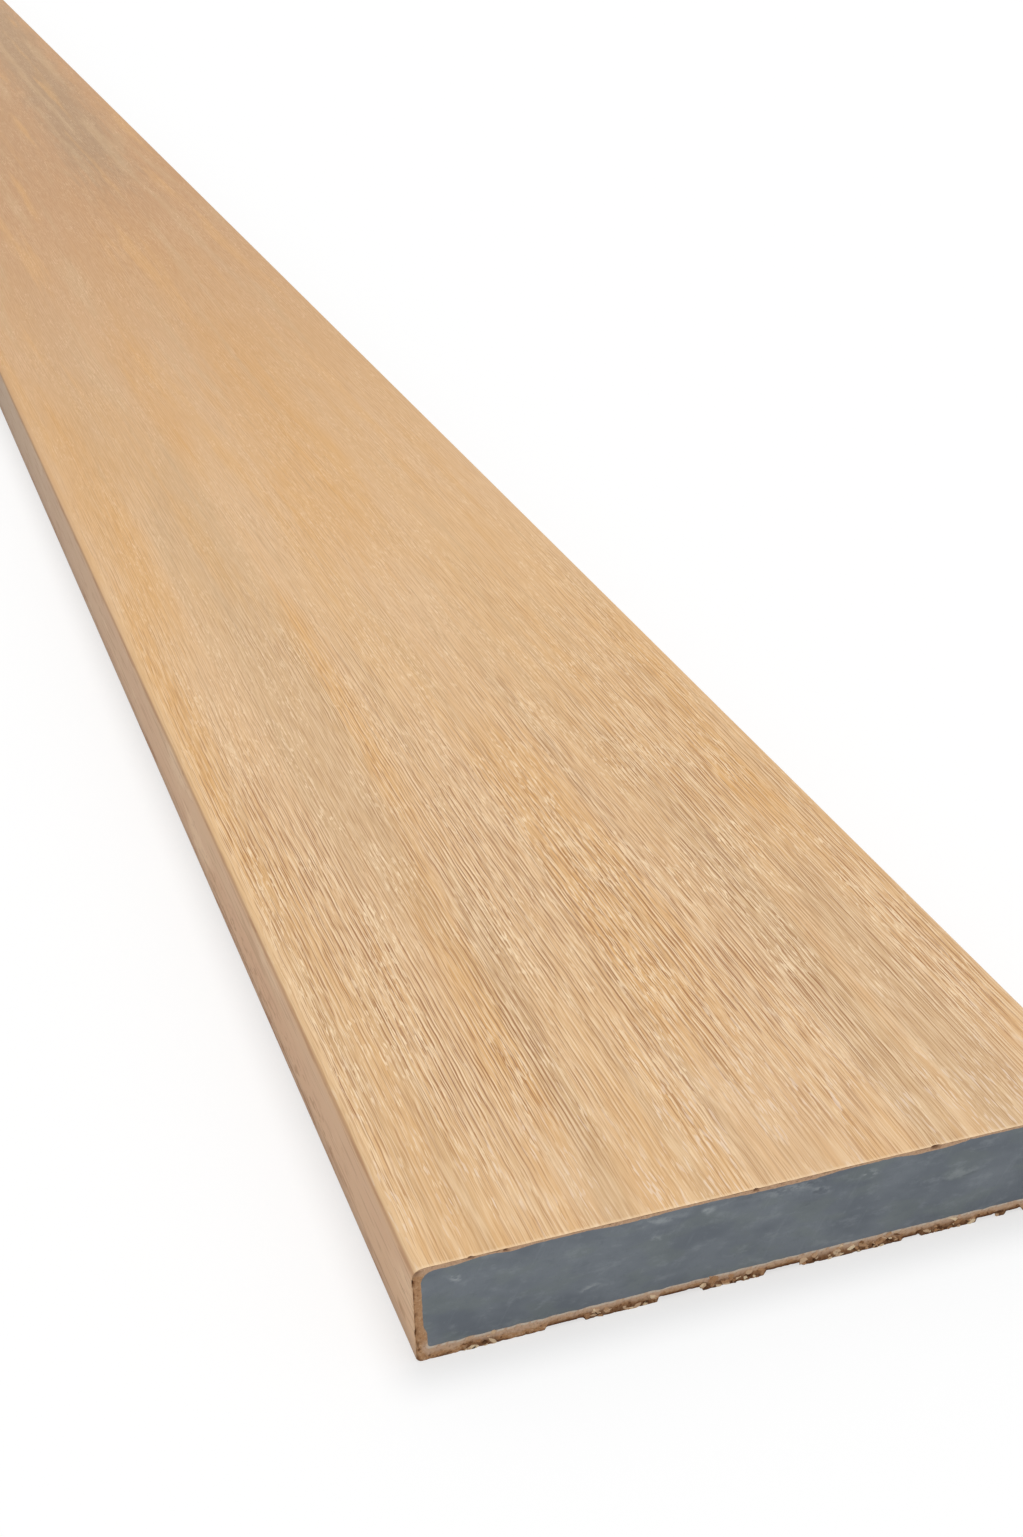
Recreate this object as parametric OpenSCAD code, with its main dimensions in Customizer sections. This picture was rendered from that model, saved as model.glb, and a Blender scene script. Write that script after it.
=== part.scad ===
// Composite cladding board: a solid grey core inside a wood-grain capping, extruded together.
// The board lies flat on its back face. X runs along it, Y across it and Z up through it.
// The origin is the centre of the back face. The sawn end at +X is the one with the torn lower edge.
// All sizes are in millimetres.

/* [Board] */
// Length of the board
board_len = 2200; // [600:100:6000]
// Width of the board over its capping
board_w = 138; // [90:1:300]
// Thickness of the board over its capping
board_t = 20; // [16:0.5:40]

/* [Capping] */
// Thickness of the capping on the grained face
face_cap = 0.7; // [0.4:0.1:2]
// Thickness of the capping on the back face
back_cap = 2.8; // [2:0.1:4]
// Thickness of the capping on the long edges
edge_cap = 1.6; // [0.8:0.1:3]
// How much thicker the capping is round the two back corners
heel_extra = 0.6; // [0.2:0.1:1.5]
// Height above the back face to which the thicker capping reaches
heel_h = 6; // [5:0.1:7]
// Height over which the thicker capping thins out again
heel_fade = 1.5; // [1:0.1:4]

/* [Long edges] */
// Radius of the two long edges of the grained face
face_edge_r = 2; // [1:0.1:3]
// Radius of the two long edges of the back face
back_edge_r = 1; // [0.5:0.1:2]
// Radius of the core's corners under the grained face
core_face_r = 2.4; // [1:0.1:3.5]
// Radius of the core's corners over the back face
core_back_r = 0.6; // [0.3:0.1:1]

/* [Torn lower edge] */
// Height of the tallest chip that the saw tore out of the capping
chip_h = 1; // [0.5:0.1:1.6]
// How far the chips run back from the sawn end
chip_run = 4; // [2:0.5:8]
// Height that is left of a chip where it runs out
chip_lip = 0.15; // [0.05:0.05:0.3]

/* [Hidden] */
core_w = board_w - 2 * edge_cap;
core_foot_w = core_w - 2 * heel_extra;
core_top = board_t - face_cap;
// Each chip: its middle from the left long edge, its width, and its height as a share of chip_h
CHIPS = [
    [27.3, 7.5, 0.7],
    [49.2, 9, 1],
    [69.6, 8, 0.9],
    [95.2, 4, 0.5],
    [111, 5, 0.8],
    [116.6, 4, 0.8],
    [126, 6.5, 0.6]
];
CORE_COLOUR = [0.40, 0.43, 0.46];
CAPPING_COLOUR = [0.85, 0.69, 0.50];
arc_fn = 64;

// What a rounding of radius r takes off a square corner at the origin, with the stock to its right and above
module corner_waste(r) {
    difference() {
        translate([-r, -r]) square(2 * r);
        translate([r, r]) circle(r, $fn = arc_fn);
    }
}

// The waste at both ends of a level edge, w wide and at height y, with the stock above it
module low_corners(w, y, r) {
    for (side = [0, 1])
        mirror([side, 0])
            translate([-w / 2, y])
                corner_waste(r);
}

// The same for an edge with the stock below it
module high_corners(w, y, r) {
    translate([0, y])
        mirror([0, 1])
            low_corners(w, 0, r);
}

// Section over the capping: x runs across the board and y up through it
module board_outline() {
    difference() {
        translate([-board_w / 2, 0]) square([board_w, board_t]);
        high_corners(board_w, board_t, face_edge_r);
        low_corners(board_w, 0, back_edge_r);
    }
}

// Section of the core: it steps in over the thicker capping at the back corners
module core_outline() {
    right_side = [
        [core_foot_w / 2, back_cap],
        [core_foot_w / 2, heel_h],
        [core_w / 2, heel_h + heel_fade],
        [core_w / 2, core_top]
    ];
    left_side = [for (i = [3 : -1 : 0]) [-right_side[i][0], right_side[i][1]]];
    difference() {
        polygon(concat(right_side, left_side));
        high_corners(core_w, core_top, core_face_r);
        low_corners(core_foot_w, back_cap, core_back_r);
    }
}

// Runs a section of the board along X, centred on the origin
module run_along() {
    rotate([90, 0, 90])
        linear_extrude(board_len, center = true)
            children();
}

// One flake, round behind: w wide and h high at the sawn end, and thinning to the lip where it runs out
module flake(w, h) {
    r = (w * w / 4 + chip_run * chip_run) / (2 * chip_run);
    slope = atan((h - chip_lip) / chip_run);
    translate([-chip_run, 0, chip_lip])
        rotate([0, -slope, 0])
            translate([r, 0, -back_cap])
                cylinder(h = back_cap, r = r, $fn = arc_fn);
}

module torn_chips() {
    for (c = CHIPS)
        translate([board_len / 2, c[0] - board_w / 2, 0])
            flake(c[1], c[2] * chip_h);
}

module core() {
    color(CORE_COLOUR)
        run_along()
            core_outline();
}

module capping() {
    color(CAPPING_COLOUR)
        difference() {
            run_along()
                difference() {
                    board_outline();
                    core_outline();
                }
            torn_chips();
        }
}

core();
capping();
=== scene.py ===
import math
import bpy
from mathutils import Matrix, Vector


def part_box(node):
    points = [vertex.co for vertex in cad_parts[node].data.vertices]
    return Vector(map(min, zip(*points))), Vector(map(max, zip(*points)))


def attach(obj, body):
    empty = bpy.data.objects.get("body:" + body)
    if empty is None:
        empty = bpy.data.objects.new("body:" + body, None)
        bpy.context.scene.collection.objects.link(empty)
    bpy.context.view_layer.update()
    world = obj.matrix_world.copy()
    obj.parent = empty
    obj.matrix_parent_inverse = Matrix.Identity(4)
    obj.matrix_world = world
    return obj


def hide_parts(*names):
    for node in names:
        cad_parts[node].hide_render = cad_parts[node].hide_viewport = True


bl_info = {
    "name": "Composite Cladding Board",
    "version": (1, 0, 0),
    "blender": (4, 5, 0),
    "location": "View3D > Sidebar > Board",
    "description": "Dresses a capped composite board: embossed grain, sawn ends and a torn lower edge",
    "category": "Object",
}

import bmesh
import bpy
import numpy as np
from bpy.props import FloatProperty, FloatVectorProperty, IntProperty, PointerProperty
from mathutils import Matrix, Vector, noise

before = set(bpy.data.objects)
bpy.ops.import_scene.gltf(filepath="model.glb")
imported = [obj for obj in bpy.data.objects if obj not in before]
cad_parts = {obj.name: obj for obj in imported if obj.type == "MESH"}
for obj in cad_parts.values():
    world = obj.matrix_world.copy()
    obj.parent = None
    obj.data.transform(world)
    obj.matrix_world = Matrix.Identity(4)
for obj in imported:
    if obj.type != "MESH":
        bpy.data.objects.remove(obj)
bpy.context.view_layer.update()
CAPPING_LOW, CAPPING_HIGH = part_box("capping")
CORE_LOW, CORE_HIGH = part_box("core")

MM = 0.001
ARC_STEPS = 4  # steps round each rounded corner of the section
SAWN_END = CAPPING_HIGH[0]
BOARD_LEN = CAPPING_HIGH[0] - CAPPING_LOW[0]
FAR_END = SAWN_END - BOARD_LEN
TORN_RISE = 1.5 * MM  # how far up the torn edge reaches, and how far it stays off the long edges
TORN_RUN = 6 * MM  # how far behind the sawn end the torn edge reaches
SEAM_RUN = 3 * MM  # how far behind the sawn end the seam of capping and core is uneven
CORE_INSET = 0.03 * MM  # how far the core lies behind the saw cuts
CUT_BACK = 0.05 * MM  # how far the smoothest part of the sawn capping lies behind the sawn end
CUT_ROUGH = 0.06 * MM  # depth of the sawn capping's roughness
CRUMBLED_ROUGH = 0.25 * MM  # what the crumbled stretches add to that
PIT_DEPTH = 0.8 * MM
CHIP_WALL = 0.35 * MM  # width of the slope round a chip
CHIP_WAVER = 0.25 * MM  # how far a chip's outline wavers
TEAR_RISE = 0.16 * MM  # height of the fine tears along the cut's lower edge
TEAR_RISE_BEHIND = 0.2 * MM  # height of the tears in the back face behind that edge
SEAM_WAVER = 0.12 * MM  # how far the seam wavers at the sawn end
SEAM_RIPPLE = 0.22 * MM  # how far it does over the back face
SAWN_EASE = 0.1 * MM  # how far the sawn end's outer edge is drawn in
FAR_EASE = 0.12 * MM  # how far the far end's is
EMBOSS_RUN = 400 * MM  # how far from the sawn end the grain lines are embossed
EMBOSS_FADE = 120 * MM  # the last part of that, over which they fade
SAW_BLUR = 55 * MM  # how far the saw has dulled the grain beside the sawn end

# Each chip in the torn lower edge, in mm: its middle from the left long edge, its width and its height
CHIPS = [
    (27.3, 7.5, 0.7),
    (49.2, 9.0, 1.0),
    (69.6, 8.0, 0.9),
    (95.2, 4.0, 0.5),
    (111.0, 5.0, 0.8),
    (116.6, 4.0, 0.8),
    (126.0, 6.5, 0.6),
]

# Pits where crumbs fell out of the sawn capping, in mm: from the left long edge, above the back face, width
PITS = [
    (12.5, 0.6, 1.2),
    (33.2, 0.7, 1.4),
    (42.6, 0.6, 0.9),
    (53.9, 0.9, 1.7),
    (59.6, 0.5, 1.1),
    (62.6, 0.8, 1.2),
    (75.8, 0.5, 1.2),
    (84.0, 0.8, 1.4),
    (87.8, 0.6, 0.9),
    (90.7, 0.9, 1.5),
    (96.9, 0.9, 1.4),
    (103.6, 0.6, 1.0),
    (107.0, 0.7, 0.9),
    (113.4, 0.9, 1.2),
    (121.5, 0.7, 1.3),
    (130.5, 0.7, 1.1),
    (0.9, 18.9, 1.3),
    (0.3, 17.2, 1.0),
    (0.3, 10.6, 0.9),
    (0.4, 6.4, 1.0),
    (0.7, 3.6, 0.8),
    (10.6, 19.6, 1.4),
    (16.9, 19.6, 1.0),
    (63.5, 19.6, 1.2),
    (99.0, 19.6, 2.0),
]

# Stretches where the lower edge is crumbled rather than chipped, in mm from the left long edge
CRUMBLED = [(9, 15), (31, 44), (53, 65), (73, 93), (97, 108), (113, 114.5), (119, 122), (129.5, 134)]

# Thickness of the capping along the grained face's sawn edge, in mm: from the left long edge, thickness
FACE_SEAM = [
    (0, 0.95),
    (8, 0.9),
    (12, 0.4),
    (15, 0.45),
    (18, 0.85),
    (22, 0.45),
    (32, 0.4),
    (37, 0.8),
    (43, 0.75),
    (47, 0.5),
    (57, 0.55),
    (62, 0.85),
    (75, 0.9),
    (80, 0.45),
    (91, 0.4),
    (95, 0.95),
    (102, 0.9),
    (106, 0.4),
    (118, 0.5),
    (124, 0.8),
    (130, 0.6),
    (138, 0.9),
]

# How clear the grain is, with the distance from the sawn end in mm
GRAIN_CLEAR = [(130, 1.0), (220, 0.62), (320, 0.34), (480, 0.24)]

# Whitish scuffs on the core's sawn end, in mm: from the left long edge, above the back face, half-width,
# half-height, tilt and strength
SCUFFS = [
    (7.6, 16.4, 1.8, 0.8, -0.6, 1.0),
    (32, 7.0, 2.2, 0.9, 0.2, 0.45),
    (44.5, 14.0, 1.2, 0.8, -0.3, 0.5),
    (45, 18.0, 5.0, 0.8, 0.0, 0.55),
    (54.5, 17.8, 1.4, 0.8, 0.1, 0.7),
    (70, 18.0, 7.0, 0.9, 0.02, 0.45),
    (76.5, 16.2, 2.2, 1.0, -0.2, 0.5),
    (86.0, 17.2, 2.0, 0.8, 0.1, 0.7),
    (104, 12.5, 5.0, 1.2, 0.1, 0.3),
]

# Dark smudges on the core's sawn end, in the same terms
SMUDGES = [
    (73, 18.6, 4.5, 0.6, 0.02, 0.9),
    (62, 18.5, 3.0, 0.5, 0.0, 0.6),
    (75.5, 16.2, 1.2, 0.8, 0.3, 0.8),
    (74, 14.0, 3.5, 0.7, 0.1, 0.5),
    (84, 15.2, 2.5, 0.8, 0.3, 0.4),
    (106, 11.8, 2.6, 0.35, 0.05, 0.7),
    (96, 3.6, 5.0, 1.0, 0.15, 0.45),
    (36, 12.6, 1.2, 0.6, -0.4, 0.4),
    (12, 12.4, 3.0, 0.8, 0.2, 0.35),
]

# Brown stains on the left long edge, in mm: from the sawn end, above the back face, half-length and
# half-height
STAINS = [
    (8, 5.3, 2.2, 1.0),
    (30, 3.0, 3.0, 0.5),
    (75, 2.2, 6.0, 0.4),
    (118, 4.6, 7.0, 0.4),
    (160, 9.5, 5.0, 0.4),
    (205, 6.0, 9.0, 0.4),
    (290, 11.0, 8.0, 0.4),
]

# Broad streaks in the grained face: tone, where each starts and ends from the sawn end, its middle from the
# left long edge at its start and at its end, and its width, all in mm, and its strength
STREAKS = [
    ("amber", 30, 150, 35, 39, 8, 0.7),
    ("grey", -20, 125, 37, 47, 7, 0.85),
    ("amber", 130, 340, 3, 8, 10, 0.7),
    ("grey", 120, 460, 32, 37, 17, 0.75),
    ("amber", 160, 300, 45, 48, 9, 0.6),
    ("amber", 40, 190, 72, 78, 20, 0.7),
    ("grey", -20, 140, 101, 107, 10, 0.8),
    ("grey", -30, 110, 115, 121, 12, 0.8),
    ("amber", 125, 255, 126, 131, 9, 0.7),
    ("amber", 290, 520, 11, 16, 16, 0.7),
    ("amber", 320, 620, 78, 92, 28, 0.6),
    ("amber", 430, 600, 49, 51, 13, 0.6),
    ("grey", 420, 760, 22, 30, 18, 0.5),
    ("amber", 680, 1050, 90, 103, 22, 0.6),
    ("grey", 880, 1750, 100, 120, 36, 1.0),
    ("grey", 900, 2500, 40, 60, 170, 0.3),
    ("amber", 1450, 1900, 30, 45, 22, 0.8),
    ("grey", 1900, 2300, 85, 70, 20, 0.7),
]


def linear(code):
    """The scene-linear colour of a hex code."""
    parts = [int(code[i : i + 2], 16) / 255 for i in (1, 3, 5)]
    return [c / 12.92 if c <= 0.04045 else ((c + 0.055) / 1.055) ** 2.4 for c in parts]


def length(name, description, default):
    """A size in metres for the sidebar."""
    settings = {"name": name, "description": description, "default": default}
    return FloatProperty(**settings, min=0, unit="LENGTH", precision=5)


def colour(name, description, code):
    """A colour for the sidebar, from its hex code."""
    settings = {"name": name, "description": description, "default": linear(code)}
    return FloatVectorProperty(**settings, size=3, min=0, max=1, subtype="COLOR")


class BoardSizes(bpy.types.PropertyGroup):
    """Sizes of the board's section and of its surface relief."""

    board_w: length("Width", "Width over the capping", CAPPING_HIGH[1] - CAPPING_LOW[1])
    board_t: length("Thickness", "Thickness over the capping", CAPPING_HIGH[2] - CAPPING_LOW[2])
    face_cap: length("Face capping", "Capping on the grained face", CAPPING_HIGH[2] - CORE_HIGH[2])
    back_cap: length("Back capping", "Capping on the back face", CORE_LOW[2] - CAPPING_LOW[2])
    edge_cap: length("Edge capping", "Capping on the long edges", CAPPING_HIGH[1] - CORE_HIGH[1])
    heel_extra: length("Heel", "How much thicker the capping is round the back corners", 0.6 * MM)
    heel_h: length("Heel height", "Height to which the thicker capping reaches", 6 * MM)
    heel_fade: length("Heel fade", "Height over which it thins out again", 1.5 * MM)
    face_edge_r: length("Face edge radius", "Radius of the grained face's long edges", 2 * MM)
    back_edge_r: length("Back edge radius", "Radius of the back face's long edges", 1 * MM)
    core_face_r: length("Core face radius", "Radius of the core's corners under the grained face", 2.4 * MM)
    core_back_r: length("Core back radius", "Radius of the core's corners over the back face", 0.6 * MM)
    chip_run: length("Chip run", "How far the chips run back from the sawn end", 4 * MM)
    chip_lip: length("Chip lip", "Height left of a chip where it runs out", 0.15 * MM)
    line_depth: length("Grain depth", "Depth of the embossed grain lines", 0.06 * MM)
    swell_depth: length("Swell depth", "Depth of the broad hollows between raised grain", 0.08 * MM)
    line_gap: length("Grain spacing", "Distance between grain lines", 1.15 * MM)
    crumb_size: length("Crumb size", "Size of the largest crumbs on the torn edge", 1.7 * MM)
    crumb_seed: IntProperty(name="Crumb seed", description="Seed of the crumbs' places", default=7, min=0)


class BoardColours(bpy.types.PropertyGroup):
    """Colours of the board's finishes."""

    gold: colour("Gold", "Main colour of the grained face", "#DFB480")
    tan: colour("Tan", "Paler clouds in the grained face", "#E0B88A")
    amber: colour("Amber", "Deep golden streaks", "#DDA966")
    grey: colour("Grey streak", "Greyish streaks in the grained face", "#CDAA7F")
    grey_far: colour("Grey streak, far", "Greyish streaks away from the torn end", "#AB8761")
    # Painted shade: the face darkens away from the torn end, as the light falls off along the board.
    falloff_shade: colour("Umber", "Deeper tone of the face away from the torn end", "#BC8B5C")
    # Cream is also the colour of painted highlights: the light flanks of the grain lines, in part the
    # flecks on the raised grain, the band along the left edge and the rim at the sawn edge.
    cream_and_highlight: colour("Cream", "Raised, worn grain lines", "#FFE2BA")
    tuft: colour("Tufts", "Pale tufts that the saw raised beside the torn end", "#F8E2CC")
    brown: colour("Brown", "Bottom of the grain lines", "#92541C")
    edge: colour("Long edge", "The smoother long edges", "#DEB68F")
    # Painted shade: the long edges' tone away from the torn end, where the light falls off.
    edge_falloff_shade: colour("Long edge, greyer", "Greyer tone of the long edges away from the torn end", "#B49C83")
    edge_rust: colour("Edge rust", "Warmer mottling on the long edges", "#D3A07A")
    edge_low: colour("Long edge, low", "Darker tone low down on the long edges", "#B08E74")
    cut: colour("Sawn capping", "Paler crumbs in the sawn capping", "#E0BC98")
    cut_amber: colour("Sawn capping, sides", "The sawn capping up the long edges", "#BF9169")
    cut_inner: colour("Sawn capping, inner", "Smooth inner half of the sawn back capping", "#D9B598")
    crumb_pale: colour("Palest crumbs", "Fresh faces of the palest crumbs", "#FFE6C0")
    cut_brown: colour("Sawn capping, outer", "Main brown of the sawn capping", "#C4946A")
    # Besides the torn capping's own dark, this paints shade in the pits, under the chips' lips and under
    # the crumbs.
    cut_dark: colour("Torn capping", "Pits, cracks and chipped lips in the sawn capping", "#633C1F")
    cut_pale: colour("Fused line", "Pale line where capping and core are fused", "#E4D4C2")
    core: colour("Core", "Main grey of the sawn core", "#7D848B")
    core_green: colour("Core tinge", "Greener clouds in the core", "#7E8783")
    core_pale: colour("Core smear", "Paler smears on the core", "#939A9F")
    core_scuff: colour("Core scuff", "Whitish scuffs left by the saw", "#CBD1D2")
    core_dark: colour("Core shade", "Darker clouds in the core", "#6F767E")
    core_deep: colour("Core smudge", "Darkest smudges near the core's upper edge", "#50565E")
    floor: colour("Floor", "The floor and the ground behind", "#FFFFFF")


def add_node(tree, kind, inputs=None, **settings):
    """A node with its settings made, and its inputs set or linked by name or number."""
    item = tree.nodes.new(kind)
    for name, value in settings.items():
        setattr(item, name, value)
    for key, value in (inputs or {}).items():
        if isinstance(value, bpy.types.NodeSocket):
            tree.links.new(value, item.inputs[key])
        else:
            item.inputs[key].default_value = value
    return item


def calc(tree, operation, *values):
    """The output of a Math node."""
    return add_node(tree, "ShaderNodeMath", dict(enumerate(values)), operation=operation).outputs[0]


def times(tree, *values):
    """The product of its values."""
    product = values[0]
    for value in values[1:]:
        product = calc(tree, "MULTIPLY", product, value)
    return product


def ramp(tree, value, start, end):
    """0 where value is at start, 1 where it is at end, and smooth between them."""
    inputs = {"Value": value, "From Min": start, "From Max": end}
    return add_node(tree, "ShaderNodeMapRange", inputs, interpolation_type="SMOOTHSTEP").outputs[0]


def new_group(name, kind, inputs, outputs):
    """An empty node group, and the sockets of its two ends. inputs and outputs give each socket's kind by
    its name, or a number's default."""
    tree = bpy.data.node_groups.new(name, kind)
    for side, sockets in (("INPUT", inputs), ("OUTPUT", outputs)):
        for label, value in sockets.items():
            socket_kind = value if isinstance(value, str) else "Float"
            socket = tree.interface.new_socket(label, in_out=side, socket_type="NodeSocket" + socket_kind)
            if socket_kind != value:
                socket.default_value = value
    return tree, tree.nodes.new("NodeGroupInput").outputs, tree.nodes.new("NodeGroupOutput").inputs


def use_group(tree, group, inputs):
    """The outputs of a node group placed in tree, with its inputs set or linked."""
    kind = "GeometryNodeGroup" if tree.bl_idname == "GeometryNodeTree" else "ShaderNodeGroup"
    return add_node(tree, kind, inputs, node_tree=group).outputs


def shared_group(name, build):
    """The named shader group, built the first time that it is asked for."""
    return bpy.data.node_groups.get(name) or build("ShaderNodeTree")


def noise_at(tree, place, detail, roughness=0.5):
    """Smooth noise from 0 to 1, with one swing to each unit of place."""
    inputs = {"Vector": place, "Scale": 1.0, "Detail": detail, "Roughness": roughness}
    return add_node(tree, "ShaderNodeTexNoise", inputs).outputs[0]


def scaled(tree, place, factors):
    """place times a factor for each of its axes."""
    return add_node(tree, "ShaderNodeVectorMath", {0: place, 1: factors}, operation="MULTIPLY").outputs[0]


def wander(tree, place, along, across):
    """Noise round 0, with that many swings to the metre along the board and across it."""
    return calc(tree, "SUBTRACT", noise_at(tree, scaled(tree, place, (along, across, across)), 1), 0.5)


def grain_group(kind):
    """Noise drawn out along the board, which wavers and jitters as grain does."""
    inputs = {"Place": "Vector", "Gap": 0.001, "Stretch": 30.0, "Waver": 0.001, "Detail": 2.0}
    tree, source, target = new_group("Drawn grain", kind, inputs, {"Grain": "Float"})
    place = source["Place"]
    jitter = times(tree, wander(tree, place, 70, 190), 1.1 * MM)
    shift = calc(tree, "MULTIPLY_ADD", wander(tree, place, 3, 9), source["Waver"], jitter)
    apart = add_node(tree, "ShaderNodeSeparateXYZ", {0: place}).outputs
    per_metre = calc(tree, "DIVIDE", 1.0, source["Gap"])
    along = calc(tree, "DIVIDE", times(tree, apart[0], per_metre), source["Stretch"])
    across = times(tree, calc(tree, "ADD", apart[1], shift), per_metre)
    height = times(tree, calc(tree, "ADD", apart[2], shift), per_metre)
    drawn = add_node(tree, "ShaderNodeCombineXYZ", {0: along, 1: across, 2: height}).outputs[0]
    tree.links.new(noise_at(tree, drawn, source["Detail"], 0.55), target["Grain"])
    return tree


def use_grain(tree, group, place, gap, stretch, waver, detail):
    """The grain group's noise, with its own spacing, stretch and waver. Spacing and waver are in metres."""
    inputs = {"Place": place, "Gap": gap, "Stretch": stretch, "Waver": waver, "Detail": detail}
    return use_group(tree, group, inputs)["Grain"]


# The two flanks of a grain line: the output, a seed for where lines start and end, and the flank's offset
# and half-width as shares of the spacing
FLANKS = (("Dark", 3.3, 0.0, 0.19), ("Light", 7.7, 0.27, 0.22))


def line_group(kind):
    """Parallel grain lines that waver together, start and end at random, and have dark and light flanks."""
    inputs = {"Place": "Vector", "Gap": 0.001, "Length": 0.02, "Waver": 0.001}
    tree, source, target = new_group("Grain lines", kind, inputs, {"Dark": "Float", "Light": "Float"})
    place = source["Place"]
    quiver = times(tree, wander(tree, place, 260, 600), 0.13 * MM)
    jitter = calc(tree, "MULTIPLY_ADD", wander(tree, place, 80, 210), 0.55 * MM, quiver)
    shift = calc(tree, "MULTIPLY_ADD", wander(tree, place, 3, 9), source["Waver"], jitter)
    apart = add_node(tree, "ShaderNodeSeparateXYZ", {0: place}).outputs
    phase = calc(tree, "DIVIDE", calc(tree, "ADD", apart[1], shift), source["Gap"])
    line = calc(tree, "FLOOR", phase)
    inside = calc(tree, "SUBTRACT", phase, line)
    along = calc(tree, "DIVIDE", apart[0], source["Length"])
    chance = add_node(tree, "ShaderNodeTexWhiteNoise", {"W": line}, noise_dimensions="1D").outputs[0]
    middle = calc(tree, "MULTIPLY_ADD", chance, 0.4, 0.18)
    for name, seed, offset, width in FLANKS:
        spot = add_node(tree, "ShaderNodeCombineXYZ", {0: along, 1: times(tree, line, seed)}).outputs[0]
        strength = ramp(tree, noise_at(tree, spot, 1), 0.42, 0.56)
        away = calc(tree, "SUBTRACT", calc(tree, "SUBTRACT", inside, offset), middle)
        flank = ramp(tree, calc(tree, "ABSOLUTE", away), width, 0.02)
        tree.links.new(times(tree, flank, strength), target[name])
    return tree


def use_lines(tree, group, place, gap, run_length, waver):
    """How dark and how light the line group's lines are, with their sizes in metres."""
    lines = use_group(tree, group, {"Place": place, "Gap": gap, "Length": run_length, "Waver": waver})
    return lines["Dark"], lines["Light"]


def saw_group(kind):
    """Fine scratches that a saw leaves up and down a cut face, and crumbly speckle between them."""
    inputs = {"Place": "Vector", "Scratch gap": 0.0008, "Speckle size": 0.0005}
    tree, source, target = new_group("Saw cut", kind, inputs, {"Scratch": "Float", "Speckle": "Float"})
    place = source["Place"]
    lean = {"Vector": place, "Angle": 0.5}
    turned = add_node(tree, "ShaderNodeVectorRotate", lean, rotation_type="X_AXIS").outputs[0]
    per_metre = calc(tree, "DIVIDE", 1.0, source["Scratch gap"])
    apart = add_node(tree, "ShaderNodeSeparateXYZ", {0: turned}).outputs
    across = times(tree, apart[1], per_metre)
    height = times(tree, apart[2], per_metre, 0.12)
    drawn = add_node(tree, "ShaderNodeCombineXYZ", {1: across, 2: height}).outputs[0]
    tree.links.new(noise_at(tree, drawn, 3, 0.6), target["Scratch"])
    fine = calc(tree, "DIVIDE", 1.0, source["Speckle size"])
    many = add_node(tree, "ShaderNodeCombineXYZ", {0: fine, 1: fine, 2: fine}).outputs[0]
    tree.links.new(noise_at(tree, scaled(tree, place, many), 3, 0.65), target["Speckle"])
    return tree


class Finish:
    """A material of the board: a Principled BSDF whose base colour is laid up coat by coat."""

    def __init__(self, name):
        self.material = bpy.data.materials.new(name)
        self.material.use_nodes = True
        self.tree = self.material.node_tree
        self.shader = next(n for n in self.tree.nodes if n.bl_idname == "ShaderNodeBsdfPrincipled")
        self.place = add_node(self.tree, "ShaderNodeTexCoord").outputs["Object"]
        self.x, self.y, self.z = add_node(self.tree, "ShaderNodeSeparateXYZ", {0: self.place}).outputs

    def mark(self, name):
        """A mark that the mesh carries on its points."""
        return add_node(self.tree, "ShaderNodeAttribute", attribute_name=name).outputs["Fac"]

    def ramp(self, value, start, end):
        return ramp(self.tree, value, start, end)

    def behind(self, start, end):
        """From 0 to 1 between two places in mm behind the torn end."""
        return self.ramp(self.x, SAWN_END - start * MM, SAWN_END - end * MM)

    def times(self, *values):
        return times(self.tree, *values)

    def more(self, value, share, base):
        """base and a share of value."""
        return calc(self.tree, "MULTIPLY_ADD", value, share, base)

    def noise(self, swings, detail, roughness=0.5):
        """Smooth noise, with its swings to the metre along, across and up."""
        return noise_at(self.tree, scaled(self.tree, self.place, swings), detail, roughness)

    def saw(self, scratch_gap, speckle_size):
        """The saw's scratches and speckle, with their sizes in mm."""
        inputs = {"Place": self.place, "Scratch gap": scratch_gap * MM, "Speckle size": speckle_size * MM}
        marks = use_group(self.tree, shared_group("Saw cut", saw_group), inputs)
        return marks["Scratch"], marks["Speckle"]

    def coats(self, base, *coats):
        """A colour with coats laid over it in turn. A coat is a colour and the shares that multiply to its
        strength."""
        for tone, *shares in coats:
            pair = [c if isinstance(c, bpy.types.NodeSocket) else (*c, 1) for c in (base, tone)]
            inputs = {0: self.times(*shares), 6: pair[0], 7: pair[1]}
            base = add_node(self.tree, "ShaderNodeMix", inputs, data_type="RGBA").outputs[2]
        return base

    def finished(self, base, rough, height, distance, strength, specular):
        """The material, with its base colour, roughness and bump, and one specular level all over."""
        raised = {"Height": height, "Distance": distance, "Strength": strength}
        bump = add_node(self.tree, "ShaderNodeBump", raised).outputs["Normal"]
        for name, value in (("Base Color", base), ("Roughness", rough), ("Normal", bump)):
            self.tree.links.new(value, self.shader.inputs[name])
        self.shader.inputs["Specular IOR Level"].default_value = specular
        return self.material


# Layers of drawn grain in the skin. The wide ones give their spacing in mm, and the fine ones as a share of
# the grain lines' spacing. Then come the stretch along the board, the waver in mm and the detail.
WIDE_LAYERS = {
    "clouds": (26, 12, 12, 2),
    "streaks": (4.5, 26, 6, 3),
    "drift": (10, 26, 10, 2),
    "patches": (8, 4, 3, 2),
    "zones": (15, 6, 3, 2),
}
FINE_LAYERS = {
    "hairs": (0.3, 40, 3, 2),
    "flecks": (0.33, 13, 3, 1),
    "scores": (0.75, 30, 2, 2),
    "broad": (2, 9, 4, 2),
    "tufts": (0.5, 10, 5, 1),
    "dents": (1, 4, 3, 2),
}
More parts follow.
